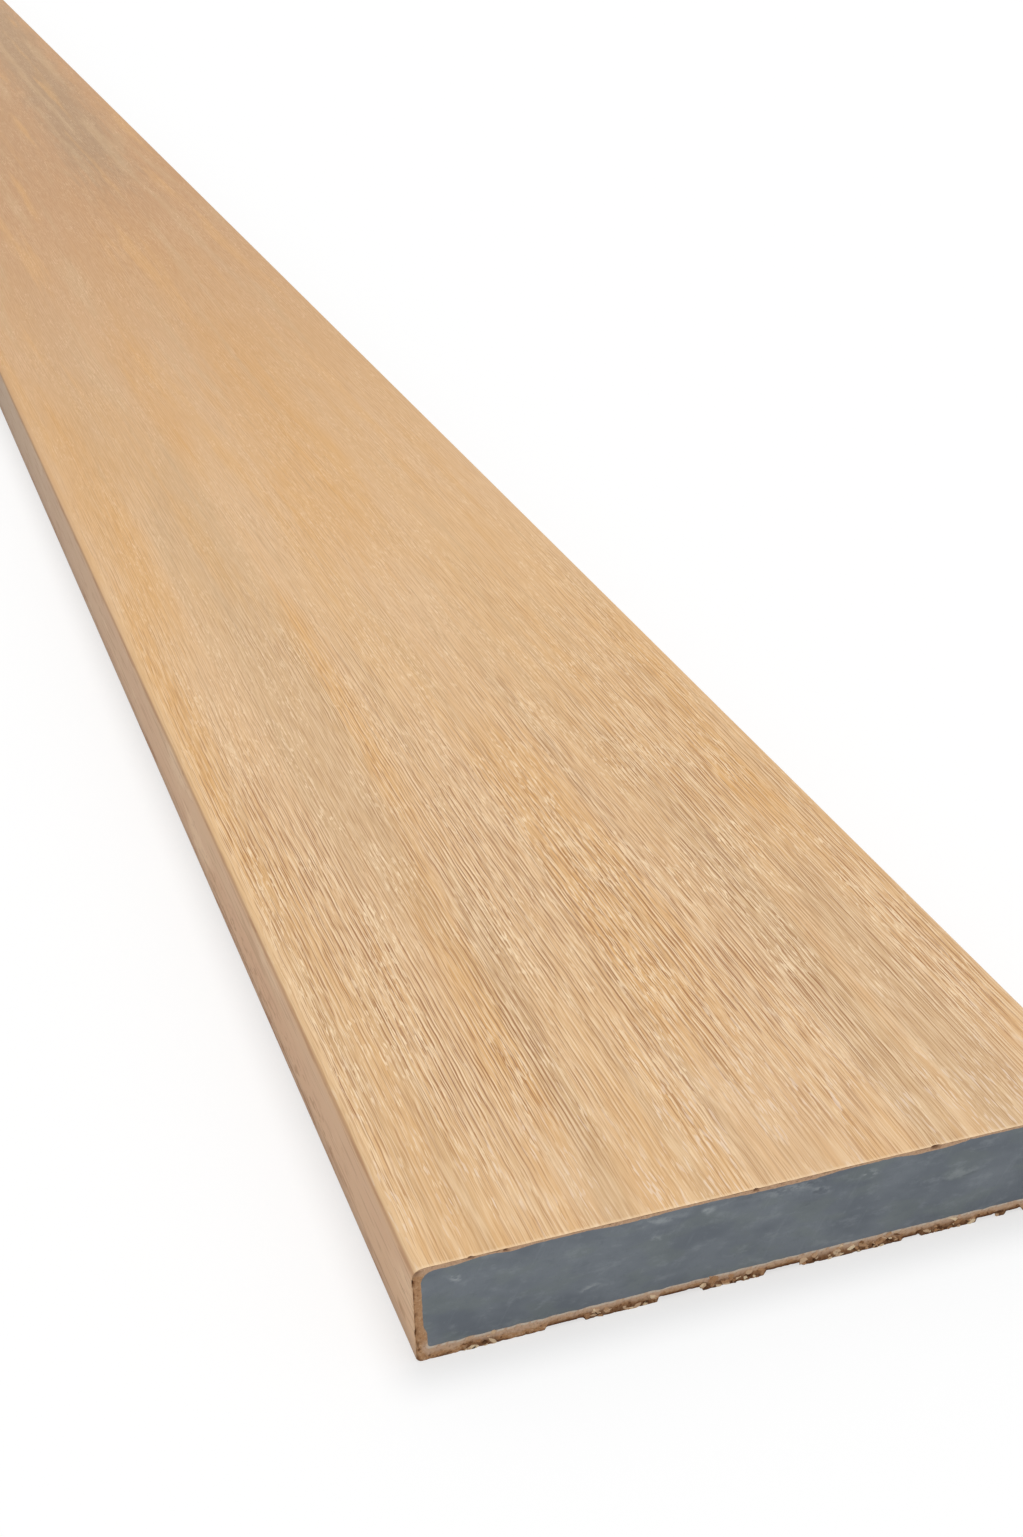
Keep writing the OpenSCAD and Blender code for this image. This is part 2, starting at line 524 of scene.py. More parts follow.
# Sets of grain lines in the skin: spacing as a share of the first set's, length of a line and waver in mm,
# and how strong the dark and the light flanks are
LINE_SETS = ((1, 17, 8, 1, 1), (0.68, 13, 9, 0.85, 0.9), (0.45, 8, 10, 0.45, 0.55))


def skin_material(sizes, colours):
    """The capping's moulded skin: embossed wood grain on the face, and smoother on the other sides."""
    skin = Finish("Capping skin")
    tree, place, fade, product = skin.tree, skin.place, skin.ramp, skin.times
    marks = {name: skin.mark(name) for name in ("amber", "grey", "far", "rim", "clear", "stain")}
    clear, grain = marks["clear"], shared_group("Drawn grain", grain_group)
    noises = {}
    for layers, unit in ((WIDE_LAYERS, MM), (FINE_LAYERS, sizes.line_gap)):
        for name, (gap, stretch, waver, detail) in layers.items():
            noises[name] = use_grain(tree, grain, place, gap * unit, stretch, waver * MM, detail)
    clouds, streaks, drift = noises["clouds"], noises["streaks"], noises["drift"]
    patches, hairs, tufts = noises["patches"], noises["hairs"], noises["tufts"]

    def below(start, end):
        """From 0 to 1 between two depths in mm below the grained face."""
        return fade(skin.z, sizes.board_t - start * MM, sizes.board_t - end * MM)

    face, arris = below(1.0, 0.55), product(below(1.5, 0.9), below(0.4, 0.8), 0.38)
    left = sizes.board_w / -2
    # Painted highlight: a pale band along the face's left rounded edge near the torn end, where that edge
    # catches the light.
    left_edge_highlight = product(fade(skin.y, left + 4.2 * MM, left + 2.6 * MM), skin.behind(420, 120))
    crisp = skin.more(product(fade(noises["zones"], 0.36, 0.6), clear), 0.4, product(clear, 0.55))
    rows = shared_group("Grain lines", line_group)
    dark, light = 0.0, 0.0
    for share, run_length, waver, dark_share, light_share in LINE_SETS:
        flanks = use_lines(tree, rows, place, sizes.line_gap * share, run_length * MM, waver * MM)
        dark = calc(tree, "MAXIMUM", dark, product(flanks[0], dark_share))
        light = calc(tree, "MAXIMUM", light, product(flanks[1], light_share))
    dark, light = product(dark, crisp), product(light, crisp)
    # Pale flecks on the raised grain: partly paler grain, partly painted highlight where the ridges catch
    # the light.
    worn_and_highlight = product(fade(noises["flecks"], 0.6, 0.67), fade(patches, 0.45, 0.58), clear)
    amber = skin.more(fade(streaks, 0.48, 0.32), 0.3, product(marks["amber"], 0.95))
    grey = skin.more(fade(streaks, 0.55, 0.7), 0.3, product(marks["grey"], 0.7))
    faint, near = product(clear, 0.25), skin.behind(80, 10)
    away = calc(tree, "SUBTRACT", 1.0, near)
    grained = skin.coats(
        colours.gold,
        (colours.tan, fade(clouds, 0.4, 0.62)),
        (colours.amber, calc(tree, "MINIMUM", amber, 1.0)),
        (colours.grey, calc(tree, "MINIMUM", grey, 1.0)),
        # Painted shade: darker away from the torn end, where the light falls off.
        (colours.falloff_shade, marks["far"], 0.85),
        (colours.grey_far, marks["grey"], skin.behind(700, 1000), 0.95),
        (colours.amber, fade(drift, 0.45, 0.3), 0.38),
        (colours.grey, fade(drift, 0.52, 0.68), 0.4),
        # Painted highlight along the left rounded edge.
        (colours.cream_and_highlight, left_edge_highlight, 0.3),
        (colours.cream_and_highlight, fade(hairs, 0.52, 0.7), faint),
        (colours.brown, fade(hairs, 0.46, 0.3), faint),
        # Painted highlight: the light flank beside each grain line, on its raised side, where it catches
        # the light.
        (colours.cream_and_highlight, light, 0.8),
        (colours.brown, dark, 0.85),
        # Painted highlight, in part: the pale flecks on the raised grain.
        (colours.cream_and_highlight, worn_and_highlight, 0.85),
        (colours.cream_and_highlight, fade(noises["broad"], 0.5, 0.66), near, 0.28),
        (colours.cream_and_highlight, fade(tufts, 0.62, 0.67), fade(patches, 0.4, 0.54), away, clear, 0.45),
        (colours.tuft, fade(tufts, 0.58, 0.66), fade(patches, 0.44, 0.58), near, 0.5),
        # Painted highlight along the face's sawn edge, in part pale chips.
        (colours.cream_and_highlight, marks["rim"], 0.55),
    )
    scratch = product(fade(noises["flecks"], 0.36, 0.3), fade(patches, 0.5, 0.62))
    low = fade(skin.z, 5.5 * MM, 1.5 * MM)
    rubbed = product(fade(skin.z, 13 * MM, 6 * MM), skin.behind(210, 140), skin.behind(25, 65))
    base = skin.coats(
        colours.edge,
        (colours.edge_rust, fade(clouds, 0.45, 0.65), 0.4),
        (colours.grey, fade(streaks, 0.5, 0.7), 0.25),
        (colours.cream_and_highlight, fade(patches, 0.55, 0.7), 0.3),
        (colours.brown, scratch, 0.35),
        # Painted shade: the long edges grey and darken away from the torn end, as the light falls off.
        (colours.edge_falloff_shade, skin.behind(100, 750)),
        (colours.edge_low, low, 0.5),
        (colours.brown, fade(noises["scores"], 0.54, 0.64), skin.more(low, 0.4, 0.25)),
        (colours.brown, rubbed, fade(noises["dents"], 0.54, 0.64), 0.4),
        (colours.brown, marks["stain"]),
        (grained, face),
        (colours.brown, arris),
    )
    relief = skin.more(hairs, faint, product(light, 0.5))
    relief = skin.more(worn_and_highlight, 0.5, skin.more(dark, -0.8, relief))
    relief = skin.more(scratch, -0.15, product(relief, skin.more(face, 0.85, 0.15)))
    return skin.finished(base, skin.more(light, -0.1, 0.62), relief, 0.14 * MM, 0.5, 0.35)


def cut_material(colours):
    """The sawn capping: crumbly brown along the back, amber up the sides, pale where it is fused, with
    painted shade in pits, under chip lips and crumbs.
    """
    cut = Finish("Capping cut")
    fade, more = cut.ramp, cut.more
    scratch, speckle = cut.saw(0.9, 0.55)
    ring, pit, torn = (cut.mark(name) for name in ("ring", "pit", "torn"))
    low = fade(cut.z, 5.0 * MM, 2.6 * MM)
    sway = calc(cut.tree, "SUBTRACT", cut.noise((380, 380, 380), 2), 0.5)
    chunks = cut.noise((700, 700, 1000), 2, 0.6)
    layer = more(sway, 0.8, ring)
    outer = fade(layer, 0.7, 0.3)
    base = cut.coats(
        colours.cut_amber,
        (cut.coats(colours.cut_inner, (colours.cut_brown, outer)), low),
        (colours.cut_inner, fade(cut.z, 18.2 * MM, 19.0 * MM), 0.6),
        (colours.cut, fade(chunks, 0.52, 0.6), more(low, 0.5, 0.1)),
        (colours.cut_dark, fade(chunks, 0.43, 0.35), more(low, 0.4, 0.35), outer),
        (colours.cream_and_highlight, fade(speckle, 0.52, 0.7), 0.3),
        (colours.cut_dark, fade(speckle, 0.46, 0.3), 0.4),
        (colours.cut_pale, fade(ring, 0.8, 0.9), fade(scratch, 0.36, 0.54), more(low, 0.85, 0.1)),
        (colours.cut_dark, fade(layer, 0.2, -0.05), 0.75),
        # Painted shade under and between the crumbs.
        (colours.cut_dark, fade(torn, 0.2, 0.8), 0.65),
        # Painted shade in the pits and under the chips' lips.
        (colours.cut_dark, pit),
    )
    relief = more(chunks, 1.5, calc(cut.tree, "ADD", speckle, scratch))
    return cut.finished(base, more(speckle, 0.2, 0.7), relief, 0.25 * MM, 0.7, 0.2)


def crumb_material(colours):
    """Crumbs of capping on the torn edge, each with its own tint."""
    crumb = Finish("Capping crumbs")
    speckle = crumb.saw(0.8, 0.3)[1]
    tint = crumb.mark("tint")
    base = crumb.coats(
        colours.cut_dark,
        (colours.cut_brown, crumb.ramp(tint, 0.0, 0.3)),
        (colours.cut, crumb.ramp(tint, 0.3, 0.6)),
        (colours.crumb_pale, crumb.ramp(tint, 0.6, 0.9)),
        (colours.cream_and_highlight, crumb.ramp(speckle, 0.5, 0.7), 0.3),
    )
    return crumb.finished(base, crumb.more(speckle, 0.2, 0.7), speckle, 0.15 * MM, 0.7, 0.2)


def core_material(colours):
    """Sawn grey composite: soft clouds, pale smears along the board's width, and fine saw scratches."""
    core = Finish("Core composite")
    fade = core.ramp
    scratch, speckle = core.saw(1.6, 0.7)
    clouds = core.noise((55, 55, 110), 3, 0.6)
    smears = core.noise((190, 190, 420), 4, 0.65)
    spots = core.noise((330, 330, 700), 3, 0.6)
    veins = core.noise((100, 100, 240), 2, 0.5)
    base = core.coats(
        colours.core,
        (colours.core_dark, fade(clouds, 0.6, 0.35)),
        (colours.core_green, fade(veins, 0.48, 0.62), 0.35),
        (colours.core_pale, fade(smears, 0.5, 0.72), 0.5),
        (colours.core_dark, fade(smears, 0.46, 0.3), 0.5),
        (colours.core_pale, fade(scratch, 0.58, 0.72), 0.2),
        (colours.core_scuff, fade(spots, 0.4, 0.6), core.mark("scuff"), 0.7),
        (colours.core_deep, fade(spots, 0.62, 0.4), core.mark("shade"), 0.55),
        (colours.core_dark, fade(speckle, 0.42, 0.3), 0.3),
    )
    height = core.more(scratch, 0.5, speckle)
    return core.finished(base, core.more(scratch, 0.25, 0.5), height, 0.15 * MM, 0.5, 0.3)


def run(start, end, steps):
    """Points along a straight run, without its last one."""
    share = np.arange(steps)[:, None] / steps
    return np.array(start) * (1 - share) + np.array(end) * share


def arc(centre, radius, first, last):
    """Points round an arc, without its last one. The angles are in degrees."""
    angles = np.radians(first + (last - first) * np.arange(ARC_STEPS) / ARC_STEPS)
    return np.array(centre) + radius * np.stack([np.cos(angles), np.sin(angles)], 1)


def rounded_section(half_w, low, high, low_r, high_r, counts):
    """(y, z) of the points round a section, from the left end of its top, over the top, down, and back."""
    face, edge, back = counts
    top_y, top_z = half_w - high_r, high - high_r
    low_y, low_z = half_w - low_r, low + low_r
    return np.concatenate(
        [
            run((-top_y, high), (top_y, high), face),
            arc((top_y, top_z), high_r, 90, 0),
            run((half_w, top_z), (half_w, low_z), edge),
            arc((low_y, low_z), low_r, 0, -90),
            run((low_y, low), (-low_y, low), back),
            arc((-low_y, low_z), low_r, -90, -180),
            run((-half_w, low_z), (-half_w, top_z), edge),
            arc((-top_y, top_z), high_r, 180, 90),
        ]
    )


def outer_section(sizes, counts):
    """The section of the board over its capping."""
    radii = sizes.back_edge_r, sizes.face_edge_r
    return rounded_section(sizes.board_w / 2, 0, sizes.board_t, *radii, counts)


def seam_section(sizes, counts, uneven):
    """The line where capping and core are fused. uneven is 1 at the torn sawn end and 0 elsewhere."""
    half_w = sizes.board_w / 2 - sizes.edge_cap
    high = sizes.board_t - sizes.face_cap
    points = rounded_section(half_w, sizes.back_cap, high, sizes.core_back_r, sizes.core_face_r, counts)
    y, z = points[:, 0].copy(), points[:, 1].copy()
    below = np.clip((sizes.heel_h + sizes.heel_fade - z) / sizes.heel_fade, 0, 1)
    y *= 1 - below * sizes.heel_extra / half_w
    across = (y + sizes.board_w / 2) / MM
    places, depths = np.array(FACE_SEAM).T
    top = np.clip((z - high + sizes.core_face_r) / sizes.core_face_r, 0, 1)
    sway = np.array([noise.noise((a * 0.9, 3.0, 0)) for a in across]) * SEAM_WAVER
    measured = sizes.face_cap - np.interp(across, places, depths) * MM
    back = np.clip((sizes.back_cap + 2 * MM - z) / (2 * MM), 0, 1)
    ripple = np.array([noise.noise((a * 0.45, 8.0, 0)) for a in across]) * SEAM_RIPPLE
    z += uneven * (top * (measured + sway) + back * ripple)
    up = np.array([noise.noise((5.0, b / MM * 0.8, 0)) for b in z]) * SEAM_WAVER
    y += uneven * up * np.clip(np.abs(y) / half_w * 20 - 19, 0, 1)
    return np.stack([y, z], 1)


def smooth_step(value):
    """0 up to 0, 1 from 1, and smooth between them."""
    value = np.clip(value, 0, 1)
    return value * value * (3 - 2 * value)


def ragged(y, s, scale, seed):
    """Smooth noise of about -1 to 1 at each place across the board and distance from the sawn end."""
    return np.array([noise.noise((a / scale, b / scale, seed)) for a, b in zip(y, s)]) * 1.6


def chip_height(sizes, y, s):
    """How far the saw's chips raise the back face at y, s back from the sawn end."""
    y = y + ragged(y, s, 1.3 * MM, 2.0) * CHIP_WAVER
    raised = np.zeros_like(y)
    for middle, width, height in CHIPS:
        middle, width, height = middle * MM - sizes.board_w / 2, width * MM, height * MM
        radius = (width * width / 4 + sizes.chip_run**2) / (2 * sizes.chip_run)
        centre_s = sizes.chip_run - radius
        inside = radius - np.hypot(y - middle, s - centre_s)
        wall = smooth_step(inside / CHIP_WALL)
        roof = sizes.chip_lip + (height - sizes.chip_lip) * np.clip(1 - s / sizes.chip_run, 0, 1)
        raised = np.maximum(raised, wall * roof)
    return raised


def torn_share(sizes, yz):
    """1 on the back face, where the saw tears the lower edge, and 0 above it and by the long edges."""
    low = smooth_step((TORN_RISE - yz[:, 1]) / TORN_RISE)
    return low * (np.abs(yz[:, 0]) < sizes.board_w / 2 - TORN_RISE)


def crumbled(sizes, y):
    """1 where the lower edge at y is crumbled, 0 where it is clean, and smooth between them."""
    across = (y + sizes.board_w / 2) / MM
    share = np.zeros_like(y)
    for start, end in CRUMBLED:
        share = np.maximum(share, smooth_step(np.minimum(across - start, end - across) / 1.2 + 0.5))
    return share


def pit_depth(sizes, y, z):
    """How deep the pits in the sawn capping are at y and z, from 0 to 1."""
    across, up = (y + sizes.board_w / 2) / MM, z / MM
    depth = np.zeros_like(y)
    for place, height, wide in PITS:
        gap = np.hypot((across - place) / wide, (up - height) / (wide * 0.7)) * 2
        depth = np.maximum(depth, smooth_step(1.25 - gap))
    return depth


# Where each part of the capping lies on its bake map: left, low, right and high, from 0 to 1
MAP_NEAR = (0.002, 0.002, 0.998, 0.412)
MAP_REST = (0.002, 0.416, 0.998, 0.826)
MAP_SAWN = (0.002, 0.832, 0.700, 0.972)
MAP_FAR_END = (0.704, 0.832, 0.998, 0.972)
MAP_INSIDE = (0.002, 0.978, 0.998, 0.998)
BACK_SHARE = 0.4  # the back face's share of the map, against the same width of the grained face


def around(section):
    """How far round a section each of its points is, from 0 to 1, with its first point again at the end."""
    closed = np.vstack([section, section[:1]])
    steps = np.hypot(*np.diff(closed, axis=0).T)
    back = np.maximum(closed[:-1, 1], closed[1:, 1]) < 0.3 * MM
    total = np.concatenate([[0], np.cumsum(steps * np.where(back, BACK_SHARE, 1))])
    return total / total[-1]


def strip_chart(box, section, share):
    """Places on the bake map for a ring of the skin, share of the way along its strip."""
    left, low, right, high = box
    turn = around(section)
    return np.stack([np.full(len(turn), left + (right - left) * share), low + (high - low) * turn], 1)


def end_chart(sizes, box, section):
    """Places on the bake map for a ring of a sawn end, which is laid flat in its box."""
    left, low, right, high = box
    closed = np.vstack([section, section[:1]])
    across = closed[:, 0] / sizes.board_w + 0.5
    up = closed[:, 1] / sizes.board_t
    return np.stack([left + (right - left) * across, low + (high - low) * up], 1)


class Shell:
    """Rings of points along the board, stitched into one closed mesh with its own bake map."""

    def __init__(self):
        self.points, self.faces, self.material, self.marks, self.places = [], [], [], [], []
        self.total = 0

    def ring(self, x, yz, **marks):
        """Adds a ring and returns the numbers of its points."""
        x = np.broadcast_to(x, len(yz))
        self.points.append(np.column_stack([x, yz]))
        self.marks.append({name: np.broadcast_to(value, len(yz)) for name, value in marks.items()})
        self.total += len(yz)
        return np.arange(self.total - len(yz), self.total)

    def stitch(self, fine, coarse, stops, charts, material=0):
        """Faces between two rings. stops are the places in the fine ring that meet the coarse ring's
        points, and charts hold both rings' places on the bake map."""
        for i, start in enumerate(stops):
            end = stops[i + 1] if i + 1 < len(stops) else len(fine)
            side = [int(fine[k % len(fine)]) for k in range(start, end + 1)]
            self.faces.append(side + [int(coarse[(i + 1) % len(coarse)]), int(coarse[i])])
            self.places += [charts[0][start : end + 1], charts[1][[i + 1, i]]]
            self.material.append(material)

    def mesh(self, name, names):
        """The finished mesh, with the marks in names as attributes on its points."""
        data = bpy.data.meshes.new(name)
        data.from_pydata(np.concatenate(self.points).tolist(), [], self.faces)
        data.polygons.foreach_set("material_index", self.material)
        for mark in names:
            values = [m.get(mark, np.zeros(len(p))) for m, p in zip(self.marks, self.points)]
            layer = data.attributes.new(mark, "FLOAT", "POINT")
            layer.data.foreach_set("value", np.concatenate(values).astype(np.float32))
        add_bake_map(data, np.concatenate(self.places))
        return data


def add_bake_map(data, places):
    """Gives a mesh its bake map, named OFBake: a place for each corner of each face."""
    layer = data.uv_layers.new(name="OFBake", do_init=False)
    layer.uv.foreach_set("vector", np.asarray(places, np.float32).ravel())


def turn_outward(data):
    """Faces outward, smooth faces, and sharp edges where the surface turns hard."""
    shape = bmesh.new()
    shape.from_mesh(data)
    bmesh.ops.recalc_face_normals(shape, faces=shape.faces)
    shape.to_mesh(data)
    shape.free()
    data.shade_smooth()
    data.set_sharp_from_angle(angle=math.radians(40))


def place_piece(data, materials):
    """Puts a mesh in the scene as a piece of the board."""
    for material in materials:
        data.materials.append(material)
    piece = bpy.data.objects.new(data.name, data)
    bpy.context.scene.collection.objects.link(piece)
    return piece


def stops_between(fine, coarse):
    """Places in a ring of fine counts that are kept in a ring of coarse counts, segment by segment."""
    stops, start = [], 0
    layout = ("face", "arc", "edge", "arc", "back", "arc", "edge", "arc")
    steps = {"face": (fine[0], coarse[0]), "edge": (fine[1], coarse[1]), "back": (fine[2], coarse[2])}
    for segment in layout:
        many, few = steps.get(segment, (ARC_STEPS, ARC_STEPS))
        stops += [start + k * many // few for k in range(few)]
        start += many
    return stops


# Stretches of the capping's skin, from the sawn end: where each ends, its row step, and its steps round the
# section across the face, up an edge and across the back
STRETCHES = [
    (6.4 * MM, 0.8 * MM, (460, 22, 460)),
    (60 * MM, 2.5 * MM, (460, 22, 69)),
    (400 * MM, 7.5 * MM, (460, 11, 69)),
    (1000 * MM, 10 * MM, (230, 11, 23)),
    (2200 * MM, 16 * MM, (115, 11, 23)),
]
FOLD = 1000 * MM  # where the capping's bake map is folded: the end of one of the stretches
RING_STEPS = 7  # rings across the sawn capping
FIRST_ROW = 0.2 * MM  # the skin's first row behind the saw cut, which rounds the cut's edge


def streak_marks(sizes, y, s):
    """How amber and how grey the broad streaks are at each y, s back from the sawn end."""
    across, back = (y + sizes.board_w / 2) / MM, s / MM
    sway = np.array([noise.noise((back / 60, a / 18, 4.0)) for a in across]) * 3.2
    fray = np.array([noise.noise((back / 35, a / 2.2, 9.0)) for a in across])
    tones = {"amber": np.zeros_like(y), "grey": np.zeros_like(y)}
    for tone, start, end, first, last, width, strength in STREAKS:
        share = (back - start) / (end - start)
        if not -0.2 < share < 1.2:
            continue
        middle = first + (last - first) * share
        inside = 1 - np.abs(across + sway - middle) / (width * 0.75)
        ends = min(share, 1 - share) * 3.2 + 0.45 + fray * 0.35
        soft = smooth_step(inside * 1.3 + fray * 0.3) * smooth_step(ends) * strength
        tones[tone] = np.maximum(tones[tone], soft)
    return tones


def stain_marks(sizes, yz, s):
    """How stained the left long edge is at each point of a row, s back from the sawn end."""
    marks = np.zeros(len(yz))
    for start, height, long, tall in STAINS:
        gap = np.hypot((s / MM - start) / long, (yz[:, 1] / MM - height) / tall)
        marks = np.maximum(marks, smooth_step(1.4 - gap) * 0.55)
    return marks * (yz[:, 0] < 0.5 * MM - sizes.board_w / 2)


def skin_marks(sizes, yz, s):
    """Marks for the skin: the streaks' tones, how clear the grain is, and its share of the emboss."""
    y, z = np.abs(yz[:, 0]), yz[:, 1]
    half_w = sizes.board_w / 2
    edge = smooth_step((y - (half_w - sizes.face_edge_r)) / sizes.face_edge_r)
    top = smooth_step((z - (sizes.board_t - sizes.face_edge_r)) / sizes.face_edge_r)
    face = top * (1 - edge)
    fine = smooth_step((EMBOSS_RUN - s) / EMBOSS_FADE)
    wobble = np.array([noise.noise((a / (2.5 * MM), 0.0, 6.0)) for a in yz[:, 0]])
    # The rim along the face's sawn edge: partly pale chips, partly painted highlight where the edge catches
    # the light.
    rim = smooth_step(1 - s / ((0.9 + 0.5 * wobble) * MM)) * top
    calm = float(np.interp(s / MM, *np.array(GRAIN_CLEAR).T))
    corner = smooth_step((half_w - 1.6 * MM - y) / (1.2 * MM))
    marks = {"lines": face * fine, "swell": face + 0.15 * (1 - top), "rim": rim}
    marks["clear"] = calm * (0.35 + 0.65 * corner) * (0.5 + 0.5 * float(smooth_step(s / SAW_BLUR)))
    # The far mark paints shade: the face darkens away from the torn end, as the light falls off along the
    # board.
    marks["far"] = float(smooth_step((s / MM - 200) / 750))
    marks["stain"] = stain_marks(sizes, yz, s)
    marks.update(streak_marks(sizes, yz[:, 0], s))
    return marks


def build_skin(sizes):
    """The capping as a closed shell: sawn ring, skin, far sawn ring, and the wall that meets the core."""
    shell = Shell()
    counts = STRETCHES[0][2]
    outer, seam = outer_section(sizes, counts), seam_section(sizes, counts, 1)
    low = torn_share(sizes, outer)
    rings, charts = [], []
    chipped = low * smooth_step(chip_height(sizes, outer[:, 0], np.zeros(len(outer))) / (0.3 * MM))
    for k in range(RING_STEPS + 1):
        share = (k / RING_STEPS) ** 1.25
        s = np.zeros(len(outer))
        lip = outer.copy()
        lip[:, 1] += low * chip_height(sizes, outer[:, 0], s)
        lip[:, 1] += low * np.maximum(ragged(outer[:, 0], s, 1.1 * MM, 5.0), 0) * TEAR_RISE
        lip *= 1 - SAWN_EASE / (sizes.board_w / 2) * (1 - share)
        yz = lip * (1 - share) + seam * share
        pit = pit_depth(sizes, yz[:, 0], yz[:, 1]) * (1 - share) ** 0.4
        pit = pit * smooth_step(np.array((1 - share) * 3))
        rough = np.array([noise.noise((a / (1.3 * MM), b / (0.9 * MM), 1.0)) for a, b in yz])
        loose = low * crumbled(sizes, yz[:, 0])
        rough = CUT_BACK + np.maximum(rough, 0) * (CUT_ROUGH + CRUMBLED_ROUGH * loose)
        x = SAWN_END - rough * (1 - share * 0.9) - pit * PIT_DEPTH
        torn = loose * (1 - share)
        # Painted shade: the pits and the strip under each chip's lip are darkened where shade falls into
        # them.
        shade = np.maximum(pit * 0.9, chipped * smooth_step(np.array(1 - share * 2)))
        rings.append(shell.ring(x, yz, ring=share, pit=shade, torn=torn))
        charts.append(end_chart(sizes, MAP_SAWN, yz))
    stops = list(range(len(outer)))
    for k in range(RING_STEPS):
        shell.stitch(rings[k], rings[k + 1], stops, charts[k : k + 2], material=1)

    last, s, previous = rings[0], FIRST_ROW, counts
    box, start, finish = MAP_NEAR, 0.0, FOLD
    chart = strip_chart(box, outer, 0.0)
    for end, step, counts in STRETCHES:
        rows = max(1, round((end - s) / step))
        for distance in np.linspace(s, end, rows, endpoint=False):
            yz = outer_section(sizes, counts)
            if distance < TORN_RUN:
                near, far_back = torn_share(sizes, yz), np.full(len(yz), distance)
                fade = max(0.0, 1 - distance / SEAM_RUN)
                yz[:, 1] += near * chip_height(sizes, yz[:, 0], far_back)
                tears = ragged(yz[:, 0], far_back, 0.9 * MM, 5.0)
                yz[:, 1] += near * fade * np.maximum(tears, 0) * TEAR_RISE_BEHIND
            marks = skin_marks(sizes, yz, distance)
            ring = shell.ring(SAWN_END - distance, yz, **marks)
            section = outer_section(sizes, counts)
            next_chart = strip_chart(box, section, (distance - start) / (finish - start))
            shell.stitch(last, ring, stops_between(previous, counts), (chart, next_chart))
            last, previous, chart = ring, counts, next_chart
            if distance == FOLD:
                box, start, finish = MAP_REST, FOLD, BOARD_LEN
                chart = strip_chart(box, section, 0.0)
        s = end
    return close_far_end(sizes, shell, last, counts, chart, rings[-1], seam)


def close_far_end(sizes, shell, last, counts, chart, seam_ring, seam):
    """The plain saw cut at the far end, and the inner wall back to the sawn end's seam."""
    outer, inner = outer_section(sizes, counts), seam_section(sizes, counts, 0)
    stops = list(range(len(outer)))
    rim = shell.ring(FAR_END + FIRST_ROW, outer, **skin_marks(sizes, outer, 1.0))
    edge_chart = strip_chart(MAP_REST, outer, 1.0)
    shell.stitch(last, rim, stops, (chart, edge_chart))
    last = rim
    for k in range(4):
        share = k / 3
        yz = outer * (1 - FAR_EASE / (sizes.board_w / 2)) * (1 - share) + inner * share
        ring = shell.ring(FAR_END, yz, ring=share)
        next_chart = end_chart(sizes, MAP_FAR_END, yz)
        if k == 0:
            shell.stitch(last, ring, stops, (end_chart(sizes, MAP_FAR_END, outer), next_chart))
        else:
            shell.stitch(last, ring, stops, (chart, next_chart), material=1)
        last, chart = ring, next_chart
    fine = STRETCHES[0][2]
    wall = seam_section(sizes, fine, 0)
    inner_fine = shell.ring(SAWN_END - SEAM_RUN, wall, ring=1.0)
    walls = ((seam, 0), (wall, 0.1), (inner, 1))
    charts = [strip_chart(MAP_INSIDE, section, share) for section, share in walls]
    shell.stitch(seam_ring, inner_fine, list(range(len(seam))), charts[:2], material=1)
    shell.stitch(inner_fine, last, stops_between(fine, counts), charts[1:], material=1)
    return shell


CRUMBS_PER_AREA = 1e6  # crumbs to the square metre where the edge is fully torn


def read_mark(tree, name):
    """A mark that the mesh carries on its points."""
    reader = add_node(tree, "GeometryNodeInputNamedAttribute", {"Name": name}, data_type="FLOAT")
    return reader.outputs["Attribute"]


def push_out(tree, geometry, distance):
    """The geometry with its points moved out along their normals."""
    normal = add_node(tree, "GeometryNodeInputNormal").outputs[0]
    inputs = {0: normal, "Scale": distance}
    offset = add_node(tree, "ShaderNodeVectorMath", inputs, operation="SCALE").outputs[0]
    return add_node(tree, "GeometryNodeSetPosition", {"Geometry": geometry, "Offset": offset}).outputs[0]


def random_value(tree, low, high, **more):
    """A random number for each point, or one for each axis where low and high have three."""
    kind, first, result = ("FLOAT_VECTOR", 0, 0) if isinstance(low, tuple) else ("FLOAT", 2, 1)
    inputs = {first: low, first + 1: high, **more}
    return add_node(tree, "FunctionNodeRandomValue", inputs, data_type=kind).outputs[result]


def emboss_tree(grain, rows):
    """Geometry nodes that press grain lines and broad hollows into the skin, by its marks. The lines are
    the finish's widest set, and the hollows follow its streaks."""
    inputs = {"Geometry": "Geometry", "Line depth": 0.0, "Swell depth": 0.0, "Line gap": 0.0}
    tree, source, target = new_group("Emboss", "GeometryNodeTree", inputs, {"Geometry": "Geometry"})
    place = add_node(tree, "GeometryNodeInputPosition").outputs[0]
    run_length, waver = LINE_SETS[0][1:3]
    dark, light = use_lines(tree, rows, place, source["Line gap"], run_length * MM, waver * MM)
    gap, stretch, waver, detail = WIDE_LAYERS["streaks"]
    swell = use_grain(tree, grain, place, gap * MM, stretch, waver * MM, detail)
    lines = read_mark(tree, "lines")
    groove = times(tree, calc(tree, "MULTIPLY_ADD", light, -0.5, dark), lines)
    groove = calc(tree, "MAXIMUM", calc(tree, "MULTIPLY_ADD", lines, 0.5, groove), 0.0)
    hollow = times(tree, ramp(tree, swell, 0.3, 0.7), read_mark(tree, "swell"))
    depth = times(tree, groove, source["Line depth"])
    depth = calc(tree, "MULTIPLY_ADD", hollow, source["Swell depth"], depth)
    tree.links.new(push_out(tree, source["Geometry"], times(tree, depth, -1.0)), target["Geometry"])
    return tree


